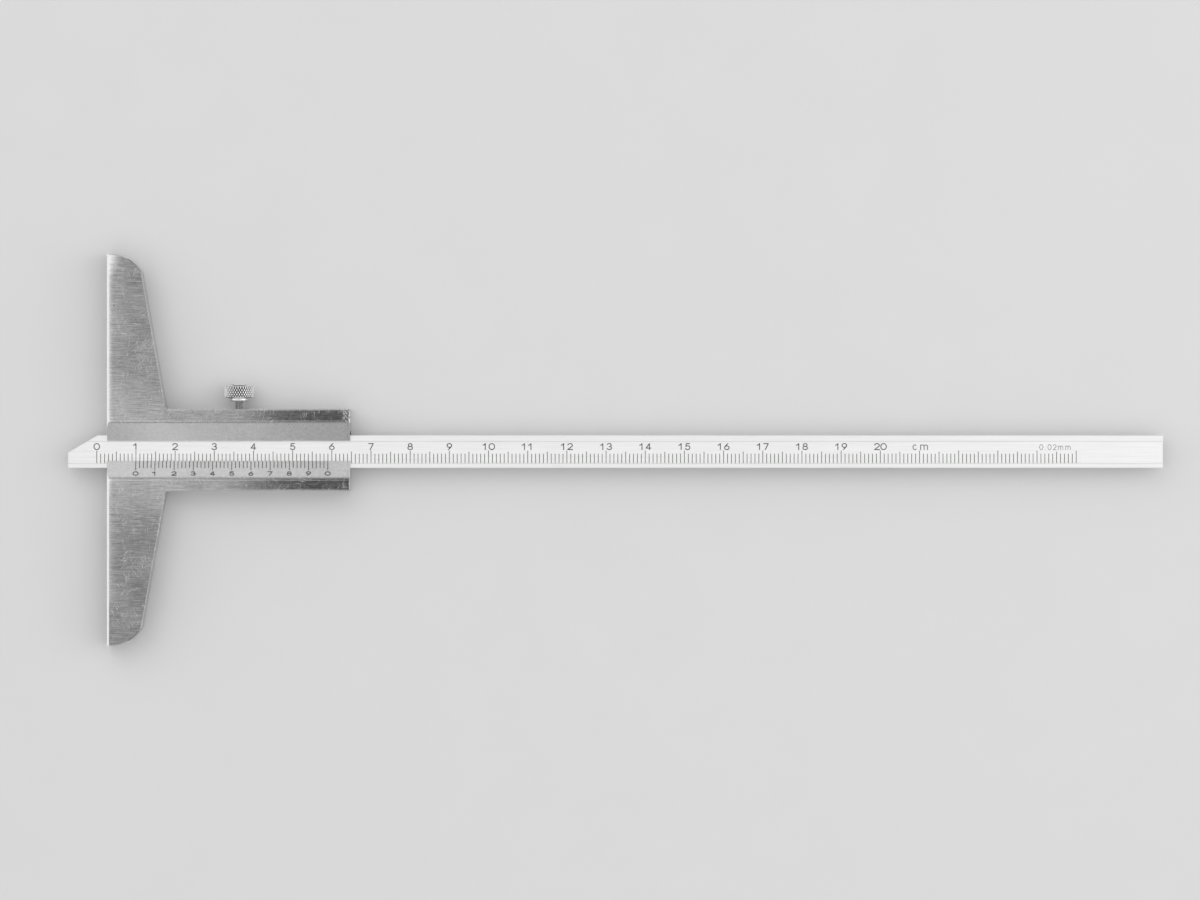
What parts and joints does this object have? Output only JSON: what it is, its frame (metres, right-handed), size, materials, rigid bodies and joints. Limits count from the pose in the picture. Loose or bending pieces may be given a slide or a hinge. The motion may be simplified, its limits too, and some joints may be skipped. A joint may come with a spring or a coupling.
{
  "type": "depth caliper",
  "caption": "Depth vernier caliper: a T-shaped head with a flat measuring face slides on a long graduated beam with a bevelled tip, and a knurled screw locks it.",
  "frame": {"origin": "on the measuring face of the head, on the head's centre line, midway through the beam's thickness: where the beam's tip ends at a reading of zero", "axes": "+X along the beam, away from the measuring face; +Y along the measuring face, towards the lock screw; +Z out of the graduated face"},
  "size_m": [0.2794, 0.1, 0.0074],
  "materials": {
    "head_steel": "satin chromed steel, brushed along the beam on the outer faces and matt on the sunk bands",
    "beam_steel": "matt chromed scale face between bright ground lands",
    "spring_steel": "bare spring steel strip",
    "screw_steel": "nickel-plated steel, diamond knurl on the knob",
    "set_screw_steel": "blackened steel"
  },
  "bodies": {
    "head": {"head": "head_steel", "set_screw_front": "set_screw_steel", "set_screw_rear": "set_screw_steel"},
    "beam": {"beam": "beam_steel"},
    "leaf": {"leaf_spring": "spring_steel"},
    "lock_screw": {"lock_screw": "screw_steel"}
  },
  "joints": [
    {"name": "beam_slide", "type": "slide", "parent": "head", "child": "beam", "axis": [-1, 0, 0], "range_m": [-0.01, 0.19]},
    {"name": "leaf_lift", "type": "slide", "parent": "head", "child": "leaf", "axis": [0, 1, 0], "range_m": [0, 0.0004], "deforming": ["leaf_spring"]},
    {"name": "lock_screw_turn", "type": "hinge", "parent": "leaf", "child": "lock_screw", "pos_m": [0.0335, 0, 0], "axis": [0, 1, 0], "range_deg": [0, 360]}
  ],
  "couplings": [
    {"joint": "lock_screw_turn", "follows": "leaf_lift", "rad_per_m": 15708}
  ]
}
